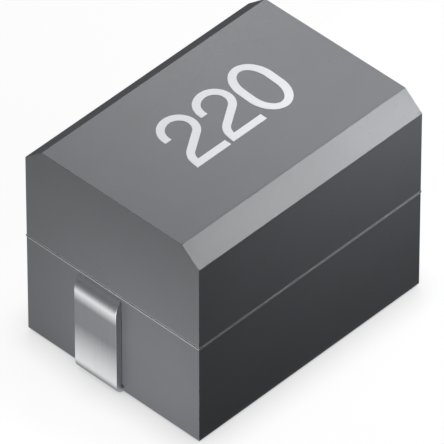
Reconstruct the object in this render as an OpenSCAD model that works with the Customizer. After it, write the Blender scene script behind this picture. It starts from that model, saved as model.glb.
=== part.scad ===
// Moulded chip inductor, case size 1812: a wire-wound ferrite drum cast into an epoxy block,
// with a folded lead-frame terminal at each end.
// Millimetres. +X runs from terminal to terminal, +Z is up, and the origin is on the circuit
// board, under the middle of the block. Each end is modelled at -X and turned round for +X.

/* [Block] */
// Length of the block, end face to end face
body_l = 4.28; // [4.1:0.02:4.8]
// Width of the block
body_w = 3.2; // [3:0.05:3.8]
// Height of the block, underside to top
body_h = 3.36; // [3.1:0.02:3.8]
// Width of the chamfer along each long top edge, seen from above
chamfer_w = 0.31; // [0.1:0.01:0.4]
// Drop of that chamfer, seen from the end
chamfer_h = 0.27; // [0.1:0.01:0.4]
// Height of the mould's parting line above the underside
parting_h = 1.68; // [1.5:0.02:1.9]
// Thickness of the flash that the mould leaves along the parting line
flash_t = 0.02; // [0.01:0.005:0.04]
// How far the flash stands proud of the walls
flash_proud = 0.01; // [0.005:0.005:0.02]

/* [Terminals] */
// Thickness of the lead-frame strip, plating included
strip_t = 0.11; // [0.08:0.01:0.15]
// Width of the strip
strip_w = 0.78; // [0.5:0.02:1.2]
// How far each strip sits off the middle of its end face, on opposite sides at the two ends
strip_shift = 0.22; // [0:0.01:0.35]
// Inside radius of the shoulder, the fold where the strip leaves the end face and turns down
shoulder_r = 0.17; // [0.1:0.01:0.26]
// Inside radius of the fold over the foot
foot_bend_r = 0.04; // [0.02:0.01:0.16]
// Inside radius of the fold over the paddle
paddle_bend_r = 0.13; // [0.05:0.01:0.16]
// Length of the foot under the block, from the outer face of the strip
foot_l = 0.9; // [0.6:0.02:1.2]
// Height of the block's underside above the board, which the feet stand on
stand_off = 0.04; // [0.02:0.01:0.08]
// Clearance round a foot in its pocket
foot_gap = 0.03; // [0.02:0.01:0.06]
// Height of the paddle that holds the drum, below its fold
paddle_h = 0.5; // [0.2:0.02:0.7]

/* [Drum] */
// Length of the ferrite drum, over both flanges
core_l = 2.7; // [2.4:0.02:2.9]
// Diameter of a flange
flange_d = 2.3; // [2.1:0.05:2.6]
// Thickness of a flange
flange_t = 0.4; // [0.25:0.01:0.5]
// Bevel round the rim of a flange
rim_bevel = 0.05; // [0.02:0.01:0.08]
// Diameter of the waist that carries the winding
waist_d = 1.1; // [0.8:0.02:1.3]
// Width of the notch in a flange that lets the wire out
notch_w = 0.2; // [0.14:0.01:0.3]
// Height of the notch's floor over the winding
notch_rise = 0.1; // [0.05:0.01:0.15]

/* [Winding] */
// Diameter of the wire, enamel included
wire_d = 0.08; // [0.06:0.005:0.1]
// Number of layers of wire on the drum
layers = 3; // [2:1:4]
// How far up varnish fills the grooves between the outer turns, above the turns' middles
varnish_h = 0.012; // [0.008:0.002:0.02]
// Radius of a bend in the led-out wire, along its middle
lead_r = 0.12; // [0.08:0.01:0.14]
// Gap between the led-out wire and the floor of its notch
lead_gap = 0.01; // [0.005:0.005:0.03]
// Diameter of the weld bead at a wire's end
weld_d = 0.3; // [0.2:0.02:0.36]
// Height of the weld bead
weld_h = 0.12; // [0.08:0.01:0.14]

/* [Hidden] */
$fn = 48;

// Height of the parting plane, which the drum's axis and the top of both tabs lie in
axis_z = stand_off + parting_h;
// Distance from the middle to an end face, and to a face of the drum
end_x = body_l / 2;
core_x = core_l / 2;

// Outside radius of the fold over the paddle
paddle_fold_r = paddle_bend_r + strip_t;
// Middles of the left strip's three folds, in X and Z
paddle_fold = [-core_x - paddle_fold_r, axis_z - paddle_fold_r];
shoulder_fold = [-end_x + shoulder_r, axis_z - strip_t - shoulder_r];
foot_fold = [-end_x + foot_bend_r, foot_bend_r + strip_t];
// Where the left foot ends
foot_x = -end_x - strip_t + foot_l;

// Room between the flanges, and the turns that lie side by side in it
window_l = core_l - 2 * flange_t;
turns = floor(window_l / wire_d);
pitch = window_l / turns;
// Radius of the winding at the crests of its outer turns, and along their middles
coil_r = waist_d / 2 + layers * wire_d;
turn_r = coil_r - wire_d / 2;

// Radius of the notch's floor, and height at which the led-out wire crosses it
notch_r = coil_r + notch_rise;
run_z = axis_z + notch_r + lead_gap + wire_d / 2;
// Where the led-out wire leaves the winding, and where it comes down on the middle of the tab
rise_x = window_l / 2 - 2 * wire_d;
drop_x = -(shoulder_fold.x + paddle_fold.x) / 2;
// Height from which the led-out wire rises, in the innermost layer of the winding
root_z = axis_z + waist_d / 2;

// Oversize of a cut, so that it leaves its face cleanly
cut = 1;

// Turns what is modelled at the left end, -X, to the named end
module at_end(end) {
    rotate([0, 0, end == "left" ? 0 : 180]) children();
}

// Draws what is modelled at the left end at both ends
module both_ends() {
    at_end("left") children();
    at_end("right") children();
}

// Raises an outline drawn in X and Z to a solid of the given width, on the strip's middle
module across(width) {
    translate([0, strip_shift, 0]) rotate([90, 0, 0])
        linear_extrude(width, center = true) children();
}

// Lays a solid of revolution along the drum's axis
module along_axis() {
    translate([0, 0, axis_z]) rotate([0, 90, 0]) children();
}

// A rectangle from one corner to the opposite one
module box2d(low, high) {
    translate(low) square(high - low);
}

// A quarter turn of strip about a middle, in the quadrant that the two signs give
module fold2d(middle, inside_r, side_x, side_z) {
    outside_r = inside_r + strip_t;
    translate(middle) intersection() {
        difference() {
            circle(outside_r);
            circle(inside_r);
        }
        translate([min(side_x, 0), min(side_z, 0)] * outside_r) square(outside_r);
    }
}

// Side view of a terminal: paddle, tab through the end wall, leg and foot, with a fold between each
module terminal_outline() {
    box2d([-core_x - strip_t, paddle_fold.y - paddle_h], [-core_x, paddle_fold.y]);
    fold2d(paddle_fold, paddle_bend_r, 1, 1);
    box2d([shoulder_fold.x, axis_z - strip_t], [paddle_fold.x, axis_z]);
    fold2d(shoulder_fold, shoulder_r, -1, 1);
    box2d([-end_x - strip_t, foot_fold.y], [-end_x, shoulder_fold.y]);
    fold2d(foot_fold, foot_bend_r, -1, -1);
    box2d([foot_fold.x, 0], [foot_x, strip_t]);
}

// Side view of what is cut from the block for a foot and for the fold above it
module foot_pocket_outline() {
    box2d([-end_x - cut, -cut], [foot_x + foot_gap, strip_t]);
    difference() {
        box2d([-end_x - cut, -cut], foot_fold);
        translate(foot_fold) circle(foot_bend_r);
    }
}

module terminal_solid() {
    across(strip_w) terminal_outline();
}

// End view of the block, with both long top edges chamfered
module block_outline() {
    half_w = body_w / 2;
    polygon([
        [-half_w, 0], [half_w, 0],
        [half_w, body_h - chamfer_h], [half_w - chamfer_w, body_h],
        [chamfer_w - half_w, body_h], [-half_w, body_h - chamfer_h]
    ]);
}

// Block with the thin flash all round it at the parting plane
module block() {
    translate([0, 0, stand_off]) rotate([90, 0, 90])
        linear_extrude(body_l, center = true) block_outline();
    translate([0, 0, axis_z])
        cube([body_l + 2 * flash_proud, body_w + 2 * flash_proud, flash_t], center = true);
}

// Half section of the drum: radius against distance along its axis
module drum_outline() {
    flange_r = flange_d / 2;
    waist_r = waist_d / 2;
    inner_x = window_l / 2;
    polygon([
        [0, -core_x], [flange_r - rim_bevel, -core_x], [flange_r, -core_x + rim_bevel],
        [flange_r, -inner_x - rim_bevel], [flange_r - rim_bevel, -inner_x], [waist_r, -inner_x],
        [waist_r, inner_x], [flange_r - rim_bevel, inner_x], [flange_r, inner_x + rim_bevel],
        [flange_r, core_x - rim_bevel], [flange_r - rim_bevel, core_x], [0, core_x]
    ]);
}

// Notch across the rim of the left flange, over the middle of the strip
module notch() {
    translate([-core_x - cut, strip_shift - notch_w / 2, axis_z + notch_r])
        cube([flange_t + cut + rim_bevel, notch_w, flange_d]);
}

module drum_solid() {
    difference() {
        along_axis() rotate_extrude() drum_outline();
        both_ends() notch();
    }
}

// Half section of the winding: inner layers as one band, outer turns as ridges
module coil_outline() {
    box2d([waist_d / 2, -window_l / 2], [turn_r + varnish_h, window_l / 2]);
    for (turn = [0 : turns - 1])
        translate([turn_r, (turn + 0.5) * pitch - window_l / 2]) circle(d = wire_d);
}

// Quarter bend of wire in the X and Z plane, from the given angle on
module wire_bend(centre_x, from_angle) {
    translate([centre_x, strip_shift, run_z - lead_r]) rotate([90, 0, 0])
        rotate([0, 0, from_angle]) rotate_extrude(angle = 90)
            translate([lead_r, 0]) circle(d = wire_d);
}

// Upright stretch of wire between two heights
module wire_upright(x, low, high) {
    translate([x, strip_shift, low]) cylinder(d = wire_d, h = high - low);
}

// Wire led out at the left end: up from the winding, through the notch and down to the tab
module lead_out() {
    wire_upright(-rise_x, root_z, run_z - lead_r);
    wire_bend(-rise_x - lead_r, 0);
    translate([-drop_x + lead_r, strip_shift, run_z]) rotate([0, 90, 0])
        cylinder(d = wire_d, h = drop_x - rise_x - 2 * lead_r);
    wire_bend(-drop_x + lead_r, 90);
    wire_upright(-drop_x, axis_z, run_z - lead_r);
}

// Domed weld bead on the left tab, with no hole for the wire
module weld_dome() {
    dome_r = (pow(weld_d / 2, 2) + pow(weld_h, 2)) / (2 * weld_h);
    translate([-drop_x, strip_shift, axis_z]) rotate_extrude() intersection() {
        translate([0, weld_h - dome_r]) circle(dome_r);
        square([weld_d, weld_h + cut]);
    }
}

module wire_weld(end) {
    color("gainsboro") at_end(end) difference() {
        weld_dome();
        wire_upright(-drop_x, axis_z - cut, axis_z + weld_h + cut);
    }
}

module moulded_body() {
    color("dimgray") difference() {
        block();
        both_ends() {
            across(strip_w + 2 * foot_gap) foot_pocket_outline();
            terminal_solid();
            weld_dome();
            lead_out();
        }
        drum_solid();
        along_axis() cylinder(r = coil_r, h = window_l, center = true);
    }
}

module terminal_left() {
    color("silver") at_end("left") terminal_solid();
}

module terminal_right() {
    color("silver") at_end("right") terminal_solid();
}

module drum_core() {
    color("darkslategray") drum_solid();
}

module winding() {
    color("peru") {
        along_axis() rotate_extrude() coil_outline();
        both_ends() lead_out();
    }
}

module wire_weld_left() {
    wire_weld("left");
}

module wire_weld_right() {
    wire_weld("right");
}

moulded_body();
terminal_left();
terminal_right();
drum_core();
winding();
wire_weld_left();
wire_weld_right();
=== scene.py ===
"""Dresses a moulded chip inductor: its epoxy block, its plated terminals and its printed value code.

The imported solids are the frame. Pieces are modelled in millimetres, in that same frame, and brought to
metres when they are finished.
"""

import logging
import math
from collections.abc import Callable, Iterable
from dataclasses import dataclass
from enum import Enum

import bmesh
import bpy
from mathutils import Matrix, Vector


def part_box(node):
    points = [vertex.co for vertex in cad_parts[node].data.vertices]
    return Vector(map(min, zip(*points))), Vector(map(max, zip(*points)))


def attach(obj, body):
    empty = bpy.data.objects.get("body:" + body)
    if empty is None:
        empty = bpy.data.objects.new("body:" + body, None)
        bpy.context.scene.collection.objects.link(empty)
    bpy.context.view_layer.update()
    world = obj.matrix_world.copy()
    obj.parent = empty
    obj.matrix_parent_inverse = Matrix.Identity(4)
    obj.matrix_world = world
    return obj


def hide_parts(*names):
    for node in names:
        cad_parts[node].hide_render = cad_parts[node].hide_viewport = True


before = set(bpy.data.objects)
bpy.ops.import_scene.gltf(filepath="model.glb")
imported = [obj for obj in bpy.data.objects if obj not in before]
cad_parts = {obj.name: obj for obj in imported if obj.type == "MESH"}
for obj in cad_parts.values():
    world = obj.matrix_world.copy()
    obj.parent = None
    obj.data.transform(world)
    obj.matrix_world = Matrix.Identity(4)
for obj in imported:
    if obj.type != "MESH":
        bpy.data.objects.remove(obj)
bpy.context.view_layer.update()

LOG = logging.getLogger("chip_inductor")
BODY = "root"
UP = Vector((0, 0, 1))
# A millimetre in metres
MM = 0.001
# Points closer together than this, in millimetres, are one point
MERGE = 1e-5
# Edges flatter than this, in degrees, are shaded smooth
SMOOTH_DEG = 40
# How far large faces outweigh small ones in the shading of an edge: 50 is even and 100 the most
FACE_WEIGHT = 100
# Sockets of a Mix node that mixes colours, which share their names with those for other kinds of value
MIX_A, MIX_B, MIXED = 6, 7, 2

# What can be selected in edit mode
MeshElement = bmesh.types.BMVert | bmesh.types.BMEdge | bmesh.types.BMFace


class Element(Enum):
    """What a selection in edit mode is made of, by Blender's name for its select mode."""

    VERTEX = "VERT"
    EDGE = "EDGE"
    FACE = "FACE"


def node_box_mm(node: str) -> tuple[Vector, Vector]:
    """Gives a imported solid's box in millimetres.

    Args:
        node: Name of the solid's node.

    Returns:
        Its lowest and its highest corner.
    """
    low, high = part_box(node)
    return low / MM, high / MM


def linear(colour: str) -> tuple[float, float, float, float]:
    """Turns an sRGB colour to the linear values that a shader takes.

    Args:
        colour: Six hex digits after a number sign.

    Returns:
        Linear red, green and blue, and an alpha of 1.
    """
    channels = [int(colour[start:start + 2], 16) / 255 for start in (1, 3, 5)]
    straight = [c / 12.92 if c <= 0.04045 else ((c + 0.055) / 1.055) ** 2.4 for c in channels]
    return straight[0], straight[1], straight[2], 1.0


def add_node(
    tree: bpy.types.NodeTree, kind: str, inputs: dict | None = None, **settings: object
) -> bpy.types.Node:
    """Adds a node, sets it up and links what feeds it.

    Args:
        tree: Tree that the node goes in.
        kind: Blender's name for the kind of node.
        inputs: Value or output socket for each input, by the input's name or number.
        settings: The node's own properties.

    Returns:
        The new node.
    """
    node = tree.nodes.new(kind)
    for name, value in settings.items():
        setattr(node, name, value)
    for name, value in (inputs or {}).items():
        if isinstance(value, bpy.types.NodeSocket):
            tree.links.new(value, node.inputs[name])
        else:
            node.inputs[name].default_value = value
    return node


def deselect_all() -> None:
    """Leaves no object selected."""
    for obj in bpy.context.selected_objects:
        obj.select_set(False)


def make_active(obj: bpy.types.Object) -> None:
    """Selects one object alone and makes it the active one.

    Args:
        obj: The object.
    """
    deselect_all()
    obj.select_set(True)
    bpy.context.view_layer.objects.active = obj


def edit(obj: bpy.types.Object) -> None:
    """Opens one object alone in edit mode."""
    make_active(obj)
    bpy.ops.object.mode_set(mode="EDIT")


def stop_editing() -> None:
    """Goes back to object mode."""
    bpy.ops.object.mode_set(mode="OBJECT")


def pick(element: Element, test: Callable[[MeshElement], bool]) -> None:
    """Selects the elements of the edited mesh that pass a test, and no others.

    Args:
        element: The kind of element.
        test: Says whether a mesh element is wanted.
    """
    bpy.ops.mesh.select_mode(type=element.value)
    bpy.ops.mesh.select_all(action="DESELECT")
    data = bpy.context.edit_object.data
    mesh = bmesh.from_edit_mesh(data)
    for item in getattr(mesh, f"{element.value.lower()}s"):
        if test(item):
            item.select_set(True)
    mesh.select_flush_mode()
    bmesh.update_edit_mesh(data)


def merge_points(distance: float = MERGE) -> None:
    """Merges the doubled points of the edited mesh, and leaves all of it selected."""
    bpy.ops.mesh.select_all(action="SELECT")
    bpy.ops.mesh.remove_doubles(threshold=distance)


def settle(name: str) -> bpy.types.Object:
    """Names the new active object and moves its place, turn and size into its mesh.

    Args:
        name: Name of the object.

    Returns:
        The object.
    """
    obj = bpy.context.active_object
    obj.name = obj.data.name = name
    bpy.ops.object.transform_apply(location=True, rotation=True, scale=True)
    return obj


def add_box(name: str, low: Vector, high: Vector) -> bpy.types.Object:
    """Adds a box primitive between two corners, with its place and size in its mesh.

    Args:
        name: Name of the object.
        low: Lowest corner.
        high: Highest corner.

    Returns:
        The box.
    """
    deselect_all()
    bpy.ops.mesh.primitive_cube_add(size=1, location=(low + high) / 2, scale=high - low)
    return settle(name)


def add_plate(name: str, middle: Vector, size: tuple[float, float]) -> bpy.types.Object:
    """Adds a flat rectangle that faces up, with its place and size in its mesh.

    Args:
        name: Name of the object.
        middle: Its middle.
        size: Its sizes along X and Y.

    Returns:
        The rectangle.
    """
    deselect_all()
    bpy.ops.mesh.primitive_plane_add(size=1, location=middle)
    bpy.context.active_object.scale = (*size, 1)
    return settle(name)


def copy_of(obj: bpy.types.Object, name: str) -> bpy.types.Object:
    """Copies an object with a mesh of its own.

    Args:
        obj: What is copied.
        name: Name of the copy.

    Returns:
        The copy.
    """
    twin = obj.copy()
    twin.data = obj.data.copy()
    twin.name = twin.data.name = name
    bpy.context.scene.collection.objects.link(twin)
    return twin


def turned(obj: bpy.types.Object, name: str) -> bpy.types.Object:
    """Copies what is modelled at the left end to the right end, half a turn about Z.

    Args:
        obj: What is copied.
        name: Name of the copy.

    Returns:
        The copy.
    """
    twin = copy_of(obj, name)
    make_active(twin)
    twin.rotation_euler.z = math.pi
    bpy.ops.object.transform_apply(rotation=True)
    return twin


def form_of(node: str) -> bpy.types.Object:
    """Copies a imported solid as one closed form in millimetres.

    Args:
        node: Name of the solid's node.

    Returns:
        The form.
    """
    form = copy_of(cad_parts[node], f"{node}_form")
    form.parent = None
    form.scale = (1 / MM,) * 3
    make_active(form)
    bpy.ops.object.transform_apply(scale=True)
    edit(form)
    merge_points()
    stop_editing()
    return form


def apply_modifier(obj: bpy.types.Object, kind: str, **settings: object) -> None:
    """Adds a modifier to an object, sets it up and applies it.

    Args:
        obj: The object.
        kind: Blender's name for the kind of modifier.
        settings: The modifier's own properties.
    """
    make_active(obj)
    modifier = obj.modifiers.new(kind.lower(), kind)
    for name, value in settings.items():
        setattr(modifier, name, value)
    bpy.ops.object.modifier_apply(modifier=modifier.name)


def cut_away(obj: bpy.types.Object, cutter: bpy.types.Object) -> None:
    """Cuts one closed form out of another, and removes the cutter."""
    apply_modifier(obj, "BOOLEAN", operation="DIFFERENCE", solver="EXACT", object=cutter)
    bpy.data.objects.remove(cutter)


def finish_piece(obj: bpy.types.Object, replaced: str | None = None) -> None:
    """Brings a modelled piece from millimetres to metres and ties it to the frame.

    Args:
        obj: The piece.
        replaced: Node that it stands for, if it stands for one.
    """
    make_active(obj)
    bpy.ops.object.shade_smooth_by_angle(angle=math.radians(SMOOTH_DEG))
    apply_modifier(obj, "WEIGHTED_NORMAL", keep_sharp=True, weight=FACE_WEIGHT)
    obj.scale = (MM, MM, MM)
    bpy.ops.object.transform_apply(scale=True)
    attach(obj, BODY)
    if replaced:
        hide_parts(replaced)
    obj.data.calc_loop_triangles()
    LOG.info("%s: %d triangles", obj.name, len(obj.data.loop_triangles))


class Sweep:
    """Leads the selected section of the edited mesh along straight runs and bends, as a wire bender does."""

    def __init__(self, place: Vector, heading: Vector, axis: Vector, steps: int) -> None:
        """Sets out at a place.

        Args:
            place: Point of the section that the bends are measured from.
            heading: Direction that the section moves in.
            axis: Direction that every bend turns about; a positive bend turns left about it.
            steps: Facets in a quarter turn.
        """
        self.place = place.copy()
        self.heading = heading.normalized()
        self.axis = axis.normalized()
        self.steps = steps

    def run(self, length: float) -> None:
        """Extrudes the section straight ahead.

        Args:
            length: How far.
        """
        step = self.heading * length
        bpy.ops.mesh.extrude_region_move(TRANSFORM_OT_translate={"value": step})
        self.place += step

    def bend(self, radius: float, degrees: float) -> None:
        """Spins the section round a point beside it.

        Args:
            radius: Distance of that point.
            degrees: How far the section turns: positive to the left, negative to the right.
        """
        side = self.axis.cross(self.heading) * math.copysign(radius, degrees)
        centre = self.place + side
        angle = math.radians(degrees)
        steps = max(1, round(self.steps * abs(degrees) / 90))
        # The operator's own angle turns to the right
        bpy.ops.mesh.spin(steps=steps, angle=-angle, center=centre, axis=self.axis)
        turn = Matrix.Rotation(angle, 3, self.axis)
        self.place = centre + turn @ (self.place - centre)
        self.heading = turn @ self.heading


@dataclass(frozen=True)
class Finish:
    """What every finish has.

    Attributes:
        name: Name of the material.
        colour: Its main colour.
        roughness: From 0 for a mirror to 1 for matte.
    """

    name: str
    colour: str
    roughness: float

    def make(self) -> bpy.types.Material:
        """Makes the material.

        Returns:
            The new material.
        """
        material = bpy.data.materials.new(self.name)
        material.use_nodes = True
        tree = material.node_tree
        tree.nodes.clear()
        place = add_node(tree, "ShaderNodeTexCoord").outputs["Object"]
        shader = self.shade(tree, place)
        add_node(tree, "ShaderNodeOutputMaterial", {"Surface": shader.outputs[0]})
        return material

    def shade(self, tree: bpy.types.NodeTree, place: bpy.types.NodeSocket) -> bpy.types.Node:
        """Adds the shader and what drives it.

        Args:
            tree: The material's node tree.
            place: Object coordinates, in metres.

        Returns:
            The shader.
        """
        raise NotImplementedError


@dataclass(frozen=True)
class MouldedEpoxy(Finish):
    """Silica-filled epoxy, transfer moulded in a finely eroded steel mould.

    Attributes:
        clouded: Colour where there is more resin than filler.
        specular: Strength of the shine.
        cloud_mm: Size of a cloud of resin.
        cloud_detail: Levels of finer detail in the clouds.
        grain_mm: Size of a grain of the mould's texture.
        grain_detail: Levels of finer detail in the grain.
        grain_depth_mm: Height of a grain.
        gloss_range: How far the grain takes the roughness up and down.
    """

    # A satin grey that clouds a little where filler and resin part, with the mould's fine grain all over.
    # The grain is drawn coarser than the real one, so that it shows.
    name: str = "moulded_epoxy"
    colour: str = "#6d6f73"
    clouded: str = "#676a6e"
    roughness: float = 0.3
    specular: float = 0.3
    cloud_mm: float = 0.5
    cloud_detail: float = 5
    grain_mm: float = 0.03
    grain_detail: float = 2
    grain_depth_mm: float = 0.0004
    gloss_range: float = 0.06

    def shade(self, tree: bpy.types.NodeTree, place: bpy.types.NodeSocket) -> bpy.types.Node:
        """Adds the shader and what drives it.

        Args:
            tree: The material's node tree.
            place: Object coordinates, in metres.

        Returns:
            The shader.
        """
        clouds, grain = (
            add_node(
                tree, "ShaderNodeTexNoise", {"Vector": place, "Scale": 1 / (size_mm * MM), "Detail": detail}
            ).outputs["Fac"]
            for size_mm, detail in ((self.cloud_mm, self.cloud_detail), (self.grain_mm, self.grain_detail))
        )
        tone = add_node(
            tree,
            "ShaderNodeMix",
            {"Factor": clouds, MIX_A: linear(self.clouded), MIX_B: linear(self.colour)},
            data_type="RGBA",
        )
        gloss = add_node(
            tree,
            "ShaderNodeMapRange",
            {
                "Value": grain,
                "To Min": self.roughness - self.gloss_range,
                "To Max": self.roughness + self.gloss_range,
            },
        )
        bump = add_node(tree, "ShaderNodeBump", {"Height": grain, "Distance": self.grain_depth_mm * MM})
        return add_node(
            tree,
            "ShaderNodeBsdfPrincipled",
            {
                "Base Color": tone.outputs[MIXED],
                "Roughness": gloss.outputs["Result"],
                "Specular IOR Level": self.specular,
                "Normal": bump.outputs["Normal"],
            },
        )


@dataclass(frozen=True)
class TinPlate(Finish):
    """Matte tin, electroplated on rolled copper alloy strip and folded in a die.

    Each zone's first height is where the tin is painted grey, as shade, and its second where it is painted
    bright, as a highlight.

    Attributes:
        painted_shade_grey: Grey painted on the tin between the highlights, as shade.
        leg_highlight_z_mm: Heights of the painted highlight low on the leg.
        heel_z_mm: Heights of that highlight's lower end, fading to painted shade at the fold over the foot.
        shoulder_highlight_z_mm: Heights of the painted highlight where the leg meets the top fold.
        fold_z_mm: Heights of that highlight's upper end, on the fold.
        line_mm: Width of a rolling line.
        line_l_mm: Its length.
        line_depth_mm: Its depth.
        line_detail: Levels of finer detail in the lines.
        line_share: How far the lines take the burnish up and down.
        gloss_range: How far the painted highlights take the roughness down, and the grey between takes it up.
    """

    # Silver painted highlights at the top fold and low on the leg; grey painted shade, rougher, between;
    # finely lined.
    # The lines are drawn coarser than the real ones, so that they show.
    name: str = "tin_plate"
    # The colour of the painted highlights
    colour: str = "#e9eaec"
    roughness: float = 0.36
    # Grey painted between the highlights, as shade
    painted_shade_grey: str = "#828387"
    leg_highlight_z_mm: tuple[float, float] = (0.87, 0.22)
    heel_z_mm: tuple[float, float] = (0.08, 0.22)
    shoulder_highlight_z_mm: tuple[float, float] = (1.27, 1.46)
    fold_z_mm: tuple[float, float] = (1.555, 1.425)
    line_mm: float = 0.014
    line_l_mm: float = 0.6
    line_depth_mm: float = 0.0003
    line_detail: float = 3
    line_share: float = 0.08
    gloss_range: float = 0.08

    def shade(self, tree: bpy.types.NodeTree, place: bpy.types.NodeSocket) -> bpy.types.Node:
        """Adds the shader and what drives it.

        Args:
            tree: The material's node tree.
            place: Object coordinates, in metres.

        Returns:
            The shader.
        """
        height = add_node(tree, "ShaderNodeSeparateXYZ", {"Vector": place}).outputs["Z"]
        # Highlights painted bright in bands by height, with grey painted shade between them
        highlight_mask = self.paint_highlights(tree, height)
        along, beside = 1 / (self.line_l_mm * MM), 1 / (self.line_mm * MM)
        stretched = add_node(tree, "ShaderNodeMapping", {"Vector": place, "Scale": (along, beside, along)})
        lines = add_node(
            tree,
            "ShaderNodeTexNoise",
            {"Vector": stretched.outputs["Vector"], "Scale": 1.0, "Detail": self.line_detail},
        ).outputs["Fac"]
        lined = add_node(
            tree,
            "ShaderNodeMapRange",
            {"Value": lines, "To Min": -self.line_share, "To Max": self.line_share},
        )
        highlight_and_lines = add_node(
            tree, "ShaderNodeMath", {0: highlight_mask, 1: lined.outputs["Result"]}, operation="ADD"
        ).outputs["Value"]
        tone = add_node(
            tree,
            "ShaderNodeMix",
            {"Factor": highlight_and_lines, MIX_A: linear(self.painted_shade_grey), MIX_B: linear(self.colour)},
            data_type="RGBA",
        )
        gloss = add_node(
            tree,
            "ShaderNodeMapRange",
            {
                "Value": highlight_and_lines,
                "To Min": self.roughness + self.gloss_range,
                "To Max": self.roughness - self.gloss_range,
            },
        )
        bump = add_node(tree, "ShaderNodeBump", {"Height": lines, "Distance": self.line_depth_mm * MM})
        return add_node(
            tree,
            "ShaderNodeBsdfPrincipled",
            {
                "Base Color": tone.outputs[MIXED],
                "Metallic": 1.0,
                "Roughness": gloss.outputs["Result"],
                "Normal": bump.outputs["Normal"],
            },
        )

    def paint_highlights(self, tree: bpy.types.NodeTree, height: bpy.types.NodeSocket) -> bpy.types.NodeSocket:
        """Adds the mask of the highlights painted on the tin.

        Args:
            tree: The material's node tree.
            height: Height above the board, in metres.

        Returns:
            From 0 where the tin is painted grey, as shade, to 1 where it is painted bright, as a highlight.
        """
        zones = []
        # Each zone rises from painted grey shade to a painted highlight and falls back to grey
        for rising, ending in ((self.leg_highlight_z_mm, self.heel_z_mm), (self.shoulder_highlight_z_mm, self.fold_z_mm)):
            slopes = [
                add_node(
                    tree,
                    "ShaderNodeMapRange",
                    {"Value": height, "From Min": shaded_z * MM, "From Max": highlit_z * MM},
                    interpolation_type=shape,
                ).outputs["Result"]
                for (shaded_z, highlit_z), shape in ((rising, "LINEAR"), (ending, "SMOOTHSTEP"))
            ]
            zone = add_node(tree, "ShaderNodeMath", dict(enumerate(slopes)), operation="MULTIPLY")
            zones.append(zone.outputs["Value"])
        return add_node(tree, "ShaderNodeMath", dict(enumerate(zones)), operation="MAXIMUM").outputs["Value"]


@dataclass(frozen=True)
class Grained(Finish):
    """A finish that varies between two colours in soft grains, with a bump to match.

    Attributes:
        second: The other colour.
        grain_mm: Size of a grain.
        depth_mm: Height of a grain.
        detail: Levels of finer detail in the grain.
        metallic: 1 for a metal, 0 for anything else.
        coat: Weight of a clear coat.
    """

    second: str = "#808080"
    grain_mm: float = 0.05
    depth_mm: float = 0.001
    detail: float = 3
    metallic: float = 0.0
    coat: float = 0.0

    def shade(self, tree: bpy.types.NodeTree, place: bpy.types.NodeSocket) -> bpy.types.Node:
        """Adds the shader and what drives it.

        Args:
            tree: The material's node tree.
            place: Object coordinates, in metres.

        Returns:
            The shader.
        """
        grain = add_node(
            tree,
            "ShaderNodeTexNoise",
            {"Vector": place, "Scale": 1 / (self.grain_mm * MM), "Detail": self.detail},
        ).outputs["Fac"]
        tone = add_node(
            tree,
            "ShaderNodeMix",
            {"Factor": grain, MIX_A: linear(self.colour), MIX_B: linear(self.second)},
            data_type="RGBA",
        )
        bump = add_node(tree, "ShaderNodeBump", {"Height": grain, "Distance": self.depth_mm * MM})
        return add_node(
            tree,
            "ShaderNodeBsdfPrincipled",
            {
                "Base Color": tone.outputs[MIXED],
                "Metallic": self.metallic,
                "Roughness": self.roughness,
                "Coat Weight": self.coat,
                "Normal": bump.outputs["Normal"],
            },
        )


# Tin over the edges that the strip was sheared along: an even grey, without the painted highlights and shade
# of the faces.
SHEARED_TIN = Grained(
    "sheared_tin", "#bfc0c3", 0.42, second="#b3b4b7", grain_mm=0.03, depth_mm=0.0005, metallic=1.0
)
# Epoxy that was scuffed when the flash was trimmed: its filler shows as a pale line, as satin as the walls.
TRIMMED_EPOXY = Grained(
    "trimmed_epoxy", "#b0b2b5", 0.38, second="#a3a5a8", grain_mm=0.06, depth_mm=0.0006
)
# Two-part ink laid by a soft pad: off-white and matte, a little uneven where the pad left it.
PAD_PRINT_INK = Grained(
    "pad_print_ink", "#e9eaed", 0.6, second="#e2e3e6", grain_mm=0.07, depth_mm=0.0005
)
# Pressed and sintered ferrite: nearly black and matte, with a sugary grain.
# The grain is drawn coarser than the real one, so that it shows.
SINTERED_FERRITE = Grained(
    "sintered_ferrite", "#343437", 0.72, second="#48484b", grain_mm=0.03, depth_mm=0.003
)
# Drawn copper wire under clear enamel: deep orange with a glassy coat.
ENAMELLED_COPPER = Grained(
    "enamelled_copper", "#b4632e", 0.3, second="#c67840", grain_mm=0.2, depth_mm=0.001, metallic=1.0, coat=0.7
)
# A resistance weld: grey metal that has run and set in small ripples.
WELD_METAL = Grained(
    "weld_metal", "#b4b5b8", 0.38, second="#8d8881", grain_mm=0.04, depth_mm=0.003, metallic=1.0
)
# Black velvet on card: no shine at all.
BLACK_CARD = Grained("black_card", "#050505", 1.0, second="#0a0a0a", grain_mm=0.5, depth_mm=0.01)


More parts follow.
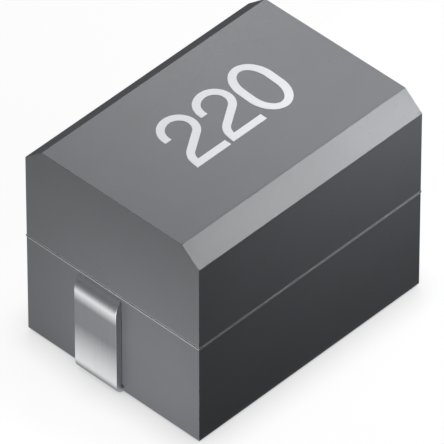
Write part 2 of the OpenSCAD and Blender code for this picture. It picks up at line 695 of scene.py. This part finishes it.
@dataclass(frozen=True)
class PaperSweep(Finish):
    """Matte white paper under the part, which reads white to the camera and in reflections.

    Attributes:
        glow: How bright the paper reads by itself.
        contact: Power of the share of open sky over the paper that the glow goes with; this paints a contact
            shadow into the glow.
        contact_mm: How far off the part shuts out that sky.
        sky_samples: Directions in which the sky is looked for.
    """

    # Plain white, with the part's soft shadow on it: cast by the lamps, and painted into the glow where the
    # part shuts out the sky.
    name: str = "paper_sweep"
    colour: str = "#626262"
    roughness: float = 1.0
    glow: float = 0.9
    contact: float = 0.35
    contact_mm: float = 0.5
    sky_samples: int = 16

    def shade(self, tree: bpy.types.NodeTree, place: bpy.types.NodeSocket) -> bpy.types.Node:
        """Adds the shader and what drives it.

        Args:
            tree: The material's node tree.
            place: Object coordinates, in metres; not used.

        Returns:
            The shader.
        """
        path = add_node(tree, "ShaderNodeLightPath").outputs
        sky = add_node(
            tree, "ShaderNodeAmbientOcclusion", {"Distance": self.contact_mm * MM}, samples=self.sky_samples
        )
        seen = path["Is Camera Ray"]
        for ray in ("Is Glossy Ray", "Is Transmission Ray"):
            either = add_node(tree, "ShaderNodeMath", {0: seen, 1: path[ray]}, operation="MAXIMUM")
            seen = either.outputs["Value"]
        # The glow dims near the part: a painted contact shadow, seen by the camera and in reflections
        strength = sky.outputs["AO"]
        for factor, operation in ((self.contact, "POWER"), (self.glow, "MULTIPLY"), (seen, "MULTIPLY")):
            step = add_node(tree, "ShaderNodeMath", {0: strength, 1: factor}, operation=operation)
            strength = step.outputs["Value"]
        paper = add_node(tree, "ShaderNodeBsdfDiffuse", {"Color": linear(self.colour)})
        white = add_node(tree, "ShaderNodeEmission", {"Strength": strength})
        return add_node(tree, "ShaderNodeAddShader", {0: paper.outputs[0], 1: white.outputs[0]})


def coat(obj: bpy.types.Object, *finishes: Finish) -> None:
    """Gives an object finishes in place of what it had.

    Args:
        obj: The object.
        finishes: One for each of its material slots; the first is all over it.
    """
    obj.data.materials.clear()
    for finish in finishes:
        obj.data.materials.append(finish.make())


def coat_where(obj: bpy.types.Object, test: Callable[[MeshElement], bool]) -> None:
    """Gives some of an object's faces the last of its finishes.

    Args:
        obj: The object.
        test: Says whether a face gets it.
    """
    edit(obj)
    pick(Element.FACE, test)
    obj.active_material_index = len(obj.material_slots) - 1
    bpy.ops.object.material_slot_assign()
    stop_editing()


@dataclass(frozen=True)
class MouldedBlock:
    """The epoxy block, moulded round the terminals and the wound drum.

    Attributes:
        low: Lowest corner of the block's walls, flash left out.
        high: Highest corner.
        parting_z: Height of the mould's parting plane.
        chamfer_w: Width of the long top edges' chamfers, seen from above.
        chamfer_h: Their drop, seen from the end.
        flash_t: Thickness of the flash along the parting plane.
        flash_proud: How far the flash stands proud of the walls.
        scuff_h: Height of the band that was scuffed when the flash was trimmed.
        upright_z: An upright face has no more than this of its normal along Z.
        edge_r: Radius that every outer edge is broken to.
        edge_steps: Facets across such an edge.
        sliver: Edges shorter than this, which a cut may leave, are closed up.
    """

    low: Vector
    high: Vector
    parting_z: float
    chamfer_w: float = 0.31
    chamfer_h: float = 0.27
    flash_t: float = 0.02
    flash_proud: float = 0.01
    scuff_h: float = 0.05
    upright_z: float = 0.5
    edge_r: float = 0.004
    edge_steps: int = 3
    sliver: float = 5e-5

    def build(self) -> bpy.types.Object:
        """Models the block without the hollows for its inserts.

        Returns:
            The block.
        """
        block = add_box("epoxy_block", self.low, self.high)
        edit(block)
        for side in (-1, 1):
            bpy.ops.mesh.select_all(action="SELECT")
            bpy.ops.mesh.bisect(
                plane_co=(0, side * self.high.y, self.high.z - self.chamfer_h),
                plane_no=Vector((0, side * self.chamfer_h, self.chamfer_w)).normalized(),
                clear_outer=True,
                use_fill=True,
            )
        bpy.ops.mesh.select_all(action="SELECT")
        bpy.ops.mesh.bevel(offset=self.edge_r, segments=self.edge_steps, affect="EDGES")
        self.raise_flash()
        stop_editing()
        return block

    def raise_flash(self) -> None:
        """Raises the thin ridge that the two halves of the mould leave where they meet."""
        for band in (self.scuff_h, self.flash_t):
            for way in (-1, 1):
                bpy.ops.mesh.select_all(action="SELECT")
                bpy.ops.mesh.bisect(plane_co=(0, 0, self.parting_z + way * band / 2), plane_no=UP)
        pick(Element.FACE, lambda face: self.off_parting(face) < self.flash_t / 2)
        bpy.ops.mesh.extrude_region_shrink_fatten(
            TRANSFORM_OT_shrink_fatten={"value": self.flash_proud, "use_even_offset": True}
        )

    def off_parting(self, face: bmesh.types.BMFace) -> float:
        """Gives the distance of a face's middle from the parting plane."""
        return abs(face.calc_center_median().z - self.parting_z)

    def hollow(self, block: bpy.types.Object, forms: Iterable[bpy.types.Object]) -> None:
        """Cuts the hollows that the moulding leaves round its inserts.

        Args:
            block: The block.
            forms: Closed forms of the inserts, which are used up.
        """
        for form in forms:
            cut_away(block, form)
        edit(block)
        merge_points(self.sliver)
        bpy.ops.mesh.dissolve_degenerate(threshold=self.sliver)
        stop_editing()

    def dress(self, block: bpy.types.Object) -> None:
        """Gives the block its epoxy, paler where it was scuffed along the flash.

        Args:
            block: The block, in millimetres.
        """
        coat(block, MouldedEpoxy(), TRIMMED_EPOXY)
        inside = self.high - Vector((self.edge_r, self.edge_r, 0))
        coat_where(
            block,
            lambda face: self.off_parting(face) < self.scuff_h / 2
            and abs(face.normal.z) < self.upright_z
            and all(abs(v.co.x) > inside.x or abs(v.co.y) > inside.y for v in face.verts),
        )


@dataclass(frozen=True)
class Terminal:
    """A lead-frame strip, folded out of the end face, down it and under the block.

    Attributes:
        low: Lowest corner of the left terminal.
        high: Its highest corner.
        end_x: Where the block's left end face is.
        strip_t: Thickness of the strip.
        shoulder_r: Inside radius of the fold at the top of the leg.
        heel_r: Inside radius of the fold over the foot.
        paddle_r: Inside radius of the fold over the paddle.
        paddle_h: Height of the paddle below its fold.
        foot_gap: Clearance round a foot in its pocket.
        pocket_t: How far out a pocket's cutter reaches from the strip's inner face.
        edge_r: Radius of the strip's plated edges.
        edge_steps: Facets across such an edge.
        edge_deg: Edges flatter than this, in degrees, belong to a fold and aren't rounded.
        sheared_y: A face of a sheared edge has at least this much of its normal along Y.
        steps: Facets in a quarter turn of a fold.
    """

    low: Vector
    high: Vector
    end_x: float
    strip_t: float = 0.11
    shoulder_r: float = 0.17
    heel_r: float = 0.04
    paddle_r: float = 0.13
    paddle_h: float = 0.5
    foot_gap: float = 0.03
    pocket_t: float = 0.5
    edge_r: float = 0.01
    edge_steps: int = 3
    edge_deg: float = 60
    sheared_y: float = 0.8
    steps: int = 24

    @property
    def middle_y(self) -> float:
        """Where the middle of the strip is, across the block."""
        return (self.low.y + self.high.y) / 2

    @property
    def width(self) -> float:
        """Width of the strip."""
        return self.high.y - self.low.y

    @property
    def shoulder_z(self) -> float:
        """Height of the middle of the shoulder's fold."""
        return self.high.z - self.strip_t - self.shoulder_r

    @property
    def heel_z(self) -> float:
        """Height of the middle of the fold over the foot."""
        return self.low.z + self.strip_t + self.heel_r

    def section(self, name: str, inside_x: float, z: float, width: float, outward: float) -> bpy.types.Object:
        """Adds the strip's flat section, open in edit mode with its face selected.

        Args:
            name: Name of the object.
            inside_x: Where the strip's inner face is.
            z: Height of the section.
            width: Width of the strip.
            outward: How far, and which way along X, the section reaches from the inner face.

        Returns:
            The section.
        """
        middle = Vector((inside_x + outward / 2, self.middle_y, z))
        strip = add_plate(name, middle, (abs(outward), width))
        edit(strip)
        bpy.ops.mesh.select_all(action="SELECT")
        return strip

    def close(self) -> None:
        """Cleans up a swept strip: no doubled points, no walls inside it, faces outwards."""
        merge_points()
        bpy.ops.mesh.select_mode(type=Element.FACE.value)
        bpy.ops.mesh.select_all(action="DESELECT")
        bpy.ops.mesh.select_interior_faces()
        bpy.ops.mesh.delete(type="FACE")
        bpy.ops.mesh.select_all(action="SELECT")
        bpy.ops.mesh.normals_make_consistent(inside=False)
        stop_editing()

    def strip(self, name: str) -> bpy.types.Object:
        """Folds the whole strip at the left end, with sharp edges.

        Args:
            name: Name of the object.

        Returns:
            The strip.
        """
        inside_x = self.high.x - self.strip_t
        tab_z = self.high.z - self.strip_t
        start = Vector((inside_x, self.middle_y, tab_z - self.paddle_r - self.paddle_h))
        strip = self.section(name, inside_x, start.z, self.width, self.strip_t)
        sweep = Sweep(start, UP, Vector((0, -1, 0)), self.steps)
        sweep.run(self.paddle_h)
        sweep.bend(self.paddle_r, 90)
        sweep.run(sweep.place.x - (self.end_x + self.shoulder_r))
        sweep.bend(self.shoulder_r, 90)
        self.lower_half(sweep, 0)
        self.close()
        return strip

    def lower_half(self, sweep: Sweep, spare: float) -> None:
        """Leads a section down the leg, round the heel and along the foot.

        Args:
            sweep: The sweep, at the top of the leg.
            spare: Extra length at the end of the foot.
        """
        sweep.run(sweep.place.z - self.heel_z)
        sweep.bend(self.heel_r, 90)
        sweep.run(self.high.x + spare - sweep.place.x)

    def pocket(self, name: str) -> bpy.types.Object:
        """Models what is cut from the block for the left foot and its fold.

        Args:
            name: Name of the object.

        Returns:
            The cutter.
        """
        start = Vector((self.end_x, self.middle_y, self.shoulder_z))
        cutter = self.section(name, self.end_x, start.z, self.width + 2 * self.foot_gap, -self.pocket_t)
        bpy.ops.mesh.flip_normals()
        self.lower_half(Sweep(start, -UP, Vector((0, -1, 0)), self.steps), self.foot_gap)
        self.close()
        return cutter

    def plate(self, strip: bpy.types.Object) -> None:
        """Rounds a strip's edges as plating does.

        Args:
            strip: The strip, in millimetres.
        """
        apply_modifier(
            strip,
            "BEVEL",
            width=self.edge_r,
            segments=self.edge_steps,
            limit_method="ANGLE",
            angle_limit=math.radians(self.edge_deg),
        )

    def dress(self, strip: bpy.types.Object) -> None:
        """Gives a strip its plating, which differs on its sheared edges."""
        coat(strip, TinPlate(), SHEARED_TIN)
        coat_where(strip, lambda face: abs(face.normal.y) > self.sheared_y)


@dataclass(frozen=True)
class Digit:
    """What every digit has.

    Attributes:
        name: Its name.
        left_x: Where it begins.
        low_y: Where it stands.
        stroke: Width of its stroke.
        steps: Facets in a quarter turn.
    """

    name: str
    left_x: float
    low_y: float
    stroke: float = 0.118
    steps: int = 24

    def draw(self, top_z: float) -> bpy.types.Object:
        """Draws the digit, without thickness.

        Args:
            top_z: Height of the face that it is on.

        Returns:
            The digit.
        """
        raise NotImplementedError


@dataclass(frozen=True)
class Two(Digit):
    """A two, drawn as one stroke: hook, bowl, slant, heel and foot. Radii are along its middle.

    Attributes:
        tip_x: Where the stroke sets out, from where the digit begins.
        tip_y: The same, from where it stands.
        hook_l: Length of the straight that the stroke sets out with.
        hook_r: Radius of the hook.
        bowl_r: Radius of the bowl.
        slant_deg: How far the bowl goes on past straight down.
        slant_l: Length of the slant.
        heel_r: Radius of the heel.
        heel_deg: How far the heel turns back.
        foot_t: Height of the foot.
        foot_l: Length of the foot.
        foot_lean: How far the foot's lower edge begins to the left of its upper edge.
    """

    tip_x: float = 0.101
    tip_y: float = 0.63
    hook_l: float = 0.04
    hook_r: float = 0.267
    bowl_r: float = 0.237
    slant_deg: float = 57
    slant_l: float = 0.367
    heel_r: float = 0.253
    heel_deg: float = 50
    foot_t: float = 0.118
    foot_l: float = 0.642
    foot_lean: float = 0.016

    def draw(self, top_z: float) -> bpy.types.Object:
        """Draws the digit, without thickness.

        Args:
            top_z: Height of the face that it is on.

        Returns:
            The digit.
        """
        tip = Vector((self.left_x + self.tip_x, self.low_y + self.tip_y, top_z))
        plate = add_plate(self.name, tip + Vector((0, self.hook_l / 2, 0)), (self.stroke, self.hook_l))
        edit(plate)
        pick(Element.EDGE, lambda edge: all(v.co.y > tip.y + self.hook_l / 2 for v in edge.verts))
        sweep = Sweep(tip + Vector((0, self.hook_l, 0)), Vector((0, 1, 0)), UP, self.steps)
        sweep.bend(self.hook_r, -90)
        sweep.bend(self.bowl_r, -90 - self.slant_deg)
        sweep.run(self.slant_l)
        sweep.bend(self.heel_r, self.heel_deg)
        self.draw_foot(sweep.place.x)
        stop_editing()
        return plate

    def draw_foot(self, heel_x: float) -> None:
        """Levels the end of the stroke and draws the foot on from it.

        Args:
            heel_x: Where the middle of the stroke ends.
        """
        foot_top = self.low_y + self.foot_t
        bpy.ops.transform.resize(value=(1, 0, 1), center_override=(0, foot_top, 0))
        bpy.ops.mesh.extrude_region_move(
            TRANSFORM_OT_translate={"value": (-self.foot_lean, -self.foot_t, 0)}
        )
        pick(
            Element.EDGE,
            lambda edge: all(v.co.y < foot_top + self.foot_t / 2 and v.co.x > heel_x for v in edge.verts)
            and edge.calc_length() > self.foot_t / 2,
        )
        bpy.ops.mesh.extrude_region_move(TRANSFORM_OT_translate={"value": (self.foot_l, 0, 0)})
        bpy.ops.transform.resize(value=(0, 1, 1), center_override=(self.left_x + self.foot_l, 0, 0))


@dataclass(frozen=True)
class Nought(Digit):
    """A nought, drawn as a ring that leans to the right a little.

    Attributes:
        width: Its width.
        height: Its height.
        straight: Length of the straights at its sides.
        inner_share: Sizes of its inner outline, as shares of the outer one's set in by a stroke.
        lean_deg: How far it leans.
    """

    width: float = 0.646
    height: float = 1.041
    straight: float = 0.2
    inner_share: tuple[float, float, float] = (0.946, 1.007, 1)
    lean_deg: float = 3

    def draw(self, top_z: float) -> bpy.types.Object:
        """Draws the digit, without thickness.

        Args:
            top_z: Height of the face that it is on.

        Returns:
            The digit.
        """
        middle = Vector((self.left_x + self.width / 2, self.low_y + self.height / 2, top_z))
        deselect_all()
        bpy.ops.mesh.primitive_circle_add(
            vertices=4 * self.steps, radius=1 / 2, fill_type="NGON", location=middle
        )
        bpy.context.active_object.scale = (self.width, self.height - self.straight, 1)
        ring = settle(self.name)
        edit(ring)
        for way in (-1, 1):
            pick(Element.VERTEX, lambda vertex: (vertex.co.y - middle.y) * way > MERGE)
            bpy.ops.transform.translate(value=(0, way * self.straight / 2, 0))
        pick(Element.FACE, lambda face: True)
        bpy.ops.mesh.inset(thickness=self.stroke)
        bpy.ops.transform.resize(value=self.inner_share, center_override=middle)
        bpy.ops.mesh.delete(type="FACE")
        bpy.ops.mesh.select_all(action="SELECT")
        # With no window, a positive angle leans it to the right
        bpy.ops.transform.rotate(
            value=math.radians(self.lean_deg), orient_axis="Z", center_override=middle
        )
        stop_editing()
        return ring


@dataclass(frozen=True)
class ValueCode:
    """The value code, three plain digits of white ink on the top face.

    Attributes:
        top_z: Height of the face that it is printed on.
        ink_t: Thickness of the ink.
        digits: The digits, from left to right.
    """

    top_z: float
    ink_t: float = 0.004
    digits: tuple[Digit, ...] = (
        Two("first_two", -0.923, -0.399),
        Two("second_two", -0.225, -0.386),
        Nought("nought", 0.487, -0.411),
    )

    def build(self) -> bpy.types.Object:
        """Models the digits and joins them to one print.

        Returns:
            The print.
        """
        outlines = [digit.draw(self.top_z) for digit in self.digits]
        make_active(outlines[0])
        for outline in outlines:
            outline.select_set(True)
        bpy.ops.object.join()
        code = bpy.context.active_object
        code.name = code.data.name = "value_code"
        edit(code)
        merge_points()
        bpy.ops.mesh.extrude_region_move(TRANSFORM_OT_translate={"value": (0, 0, self.ink_t)})
        bpy.ops.mesh.select_all(action="SELECT")
        bpy.ops.mesh.normals_make_consistent(inside=False)
        stop_editing()
        return code

    def dress(self, code: bpy.types.Object) -> None:
        """Gives the print its ink."""
        coat(code, PAD_PRINT_INK)


@dataclass(frozen=True)
class WoundDrum:
    """The wound drum in the block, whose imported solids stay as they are.

    Attributes:
        core: Node of the drum.
        wire: Node of the winding.
        welds: Nodes of the beads that join the wire to the terminals.
        flange_t: Thickness of the drum's flanges.
        spare: How far one form reaches into the next, so that no two of their faces lie in one plane.
        facets: Facets round the sleeve.
    """

    core: str = "drum_core"
    wire: str = "winding"
    welds: tuple[str, ...] = ("wire_weld_left", "wire_weld_right")
    flange_t: float = 0.4
    spare: float = 0.002
    facets: int = 96

    @property
    def axis_z(self) -> float:
        """Height of the drum's axis."""
        low, high = node_box_mm(self.core)
        return (low.z + high.z) / 2

    def forms(self) -> list[bpy.types.Object]:
        """Models the hollow that the drum, its wire and the beads leave in the block.

        Returns:
            Closed forms to cut the block with, in order.
        """
        return [form_of(self.core), self.sleeve(), *map(self.bead, self.welds), form_of(self.wire)]

    def sleeve(self) -> bpy.types.Object:
        """Models the plain round wall that the epoxy has over the winding, between the flanges.

        Returns:
            The cylinder.
        """
        low, high = node_box_mm(self.core)
        length = high.x - low.x - 2 * (self.flange_t - self.spare)
        radius = node_box_mm(self.wire)[1].y + self.spare
        deselect_all()
        bpy.ops.mesh.primitive_cylinder_add(vertices=self.facets, radius=radius, depth=length)
        cylinder = bpy.context.active_object
        cylinder.location.z = self.axis_z
        cylinder.rotation_euler.y = math.pi / 2
        return settle("winding_sleeve")

    def bead(self, node: str) -> bpy.types.Object:
        """Models a weld bead without the wire's hole, let into the tab that it stands on.

        Args:
            node: Node of the bead.

        Returns:
            The bead.
        """
        bead = form_of(node)
        base_z = node_box_mm(node)[0].z
        edit(bead)
        bpy.ops.mesh.select_all(action="SELECT")
        bpy.ops.mesh.convex_hull(use_existing_faces=False)
        pick(Element.VERTEX, lambda vertex: vertex.co.z < base_z + self.spare)
        bpy.ops.transform.translate(value=(0, 0, -self.spare))
        stop_editing()
        return bead

    def dress(self) -> None:
        """Gives each solid its finish."""
        finishes = {self.core: SINTERED_FERRITE, self.wire: ENAMELLED_COPPER}
        finishes.update(dict.fromkeys(self.welds, WELD_METAL))
        for node, finish in finishes.items():
            coat(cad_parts[node], finish)
            LOG.info("%s: packed solid, %s", node, finish.name)


@dataclass(frozen=True)
class Lamp:
    """A soft rectangular lamp.

    Attributes:
        name: Its name.
        place: Where it stands.
        size: Its width and height.
        level: Light that it gives what it faces: at 1, and from straight ahead, a colour renders as it is
            written.
        aim: What it faces.
    """

    name: str
    place: tuple[float, float, float]
    size: tuple[float, float]
    level: float
    aim: tuple[float, float, float] = (0, 0, 1.7)

    def add(self) -> None:
        """Adds the lamp, hidden from the camera itself."""
        light = bpy.data.lights.new(self.name, "AREA")
        light.shape = "RECTANGLE"
        light.size, light.size_y = self.size[0] * MM, self.size[1] * MM
        way = Vector(self.aim) - Vector(self.place)
        light.energy = self.level * (math.pi * way.length * MM) ** 2
        lamp = bpy.data.objects.new(self.name, light)
        lamp.location = Vector(self.place) * MM
        lamp.rotation_euler = way.to_track_quat("-Z", "Y").to_euler()
        lamp.visible_camera = False
        bpy.context.scene.collection.objects.link(lamp)


@dataclass(frozen=True)
class DarkCard:
    """A black card on the floor, out of the camera's sight.

    A wall mirrors it, and gets no light back from the floor there.

    Attributes:
        name: Its name.
        low: Its lowest corner along X and Y.
        high: Its highest corner.
        lift: How far it lies above the floor.
    """

    name: str
    low: tuple[float, float]
    high: tuple[float, float]
    lift: float = 0.02

    def add(self) -> None:
        """Adds the card to the stage."""
        low, high = Vector((*self.low, self.lift)) * MM, Vector((*self.high, self.lift)) * MM
        card = add_plate(self.name, (low + high) / 2, (high.x - low.x, high.y - low.y))
        coat(card, BLACK_CARD)
        card.visible_camera = card.visible_shadow = False


@dataclass(frozen=True)
class Studio:
    """The floor, the lamps, the dark cards and the world.

    Attributes:
        floor_size: Side of the floor.
        world_colour: Colour of the light from all round.
        world_level: Level of that light.
        lamps: The lamps.
        cards: The dark cards.
    """

    floor_size: float = 900
    world_colour: str = "#ffffff"
    world_level: float = 0.05
    lamps: tuple[Lamp, ...] = (
        Lamp("overhead", (4.3, 0, 26.3), (10, 10), 0.43),
        Lamp("near_strip", (3.7, -5.75, 7.45), (6, 0.9), 1.16, (3.7, -1.45, 3.26)),
        Lamp("edge_strip", (5.85, -3.6, 5.35), (6, 0.45), 0.71, (5.85, -1.45, 3.26)),
        Lamp("back_card", (23.6, 24.1, 26.7), (6, 6), 0.184, (5.8, 6.9, 3.4)),
        Lamp("end_card", (-6, -0.6, 0.7), (1.6, 1.1), 0.51, (-2.14, -0.8, 1)),
        Lamp("low_card", (-5, -1.4, 0.6), (1.6, 1.1), 0.35, (-2.14, -0.8, 1)),
        Lamp("shoulder_card", (-18.6, 11.4, 14.5), (24, 16), 0.19, (-2.2, 0.2, 1.6)),
    )
    cards: tuple[DarkCard, ...] = (
        DarkCard("side_card", (-4, -8), (9, -1.62)),
        DarkCard("chamfer_card", (-2.5, 3), (22, 34)),
    )

    def build(self) -> None:
        """Sets up the studio."""
        deselect_all()
        bpy.ops.mesh.primitive_plane_add(size=self.floor_size * MM)
        floor = settle("floor")
        coat(floor, PaperSweep())
        for fitting in (*self.lamps, *self.cards):
            fitting.add()
        world = bpy.data.worlds.new("studio")
        world.use_nodes = True
        background = world.node_tree.nodes["Background"]
        background.inputs["Color"].default_value = linear(self.world_colour)
        background.inputs["Strength"].default_value = self.world_level
        bpy.context.scene.world = world
        bpy.context.scene.view_settings.view_transform = "Standard"


@dataclass(frozen=True)
class PhotoCamera:
    """The photograph's point of view: a long lens that looks down on a corner.

    Attributes:
        azimuth_deg: Turn about Z; 0 looks along +Y.
        elevation_deg: Height above the horizon.
        distance: How far the camera stands from the part's middle.
        px_per_mm: Scale of the picture at that middle.
        frame_px: Side of the picture.
        middle_px: Where the middle is in the picture, from its top left corner.
        reach: The camera sees from the distance over this to the distance times this.
    """

    azimuth_deg: float = -46.1
    elevation_deg: float = 42.6
    distance: float = 131.6
    px_per_mm: float = 74.77
    frame_px: float = 444
    middle_px: tuple[float, float] = (224.2, 213.4)
    reach: float = 10

    def build(self, middle: Vector) -> None:
        """Adds the camera and makes it the scene's own.

        Args:
            middle: The part's middle.
        """
        azimuth, elevation = math.radians(self.azimuth_deg), math.radians(self.elevation_deg)
        right = Vector((math.cos(azimuth), math.sin(azimuth), 0))
        level_back = Vector((math.sin(azimuth), -math.cos(azimuth), 0))
        back = level_back * math.cos(elevation) + UP * math.sin(elevation)
        up = back.cross(right)
        off_x, off_y = (px - self.frame_px / 2 for px in self.middle_px)
        aim = middle - (right * off_x - up * off_y) / self.px_per_mm
        data = bpy.data.cameras.new("photo_camera")
        data.lens = self.px_per_mm * self.distance * data.sensor_width / self.frame_px
        data.clip_start = self.distance * MM / self.reach
        data.clip_end = self.distance * MM * self.reach
        camera = bpy.data.objects.new("photo_camera", data)
        camera.location = (aim + back * self.distance) * MM
        camera.rotation_euler = (-back).to_track_quat("-Z", "Y").to_euler()
        bpy.context.scene.collection.objects.link(camera)
        bpy.context.scene.camera = camera


def main() -> None:
    """Builds the pieces in order, dresses them and sets up the studio."""
    logging.basicConfig(level=logging.INFO, format="%(name)s %(message)s")
    drum = WoundDrum()
    low, high = node_box_mm("moulded_body")
    proud = Vector((MouldedBlock.flash_proud, MouldedBlock.flash_proud, 0))
    moulding = MouldedBlock(low + proud, high - proud, drum.axis_z)
    terminal = Terminal(*node_box_mm("terminal_left"), end_x=moulding.low.x)

    left = terminal.strip("plated_terminal_left")
    pocket = terminal.pocket("pocket_left")
    inserts = [pocket, turned(pocket, "pocket_right"), copy_of(left, "slot_left"), turned(left, "slot_right")]
    block = moulding.build()
    moulding.hollow(block, inserts + drum.forms())
    moulding.dress(block)
    finish_piece(block, "moulded_body")

    terminal.plate(left)
    right = turned(left, "plated_terminal_right")
    for strip, node in ((left, "terminal_left"), (right, "terminal_right")):
        terminal.dress(strip)
        finish_piece(strip, node)

    print_on_top = ValueCode(high.z)
    code = print_on_top.build()
    print_on_top.dress(code)
    finish_piece(code)
    drum.dress()

    Studio().build()
    PhotoCamera().build(Vector((0, 0, drum.axis_z)))


if __name__ == "__main__":
    main()
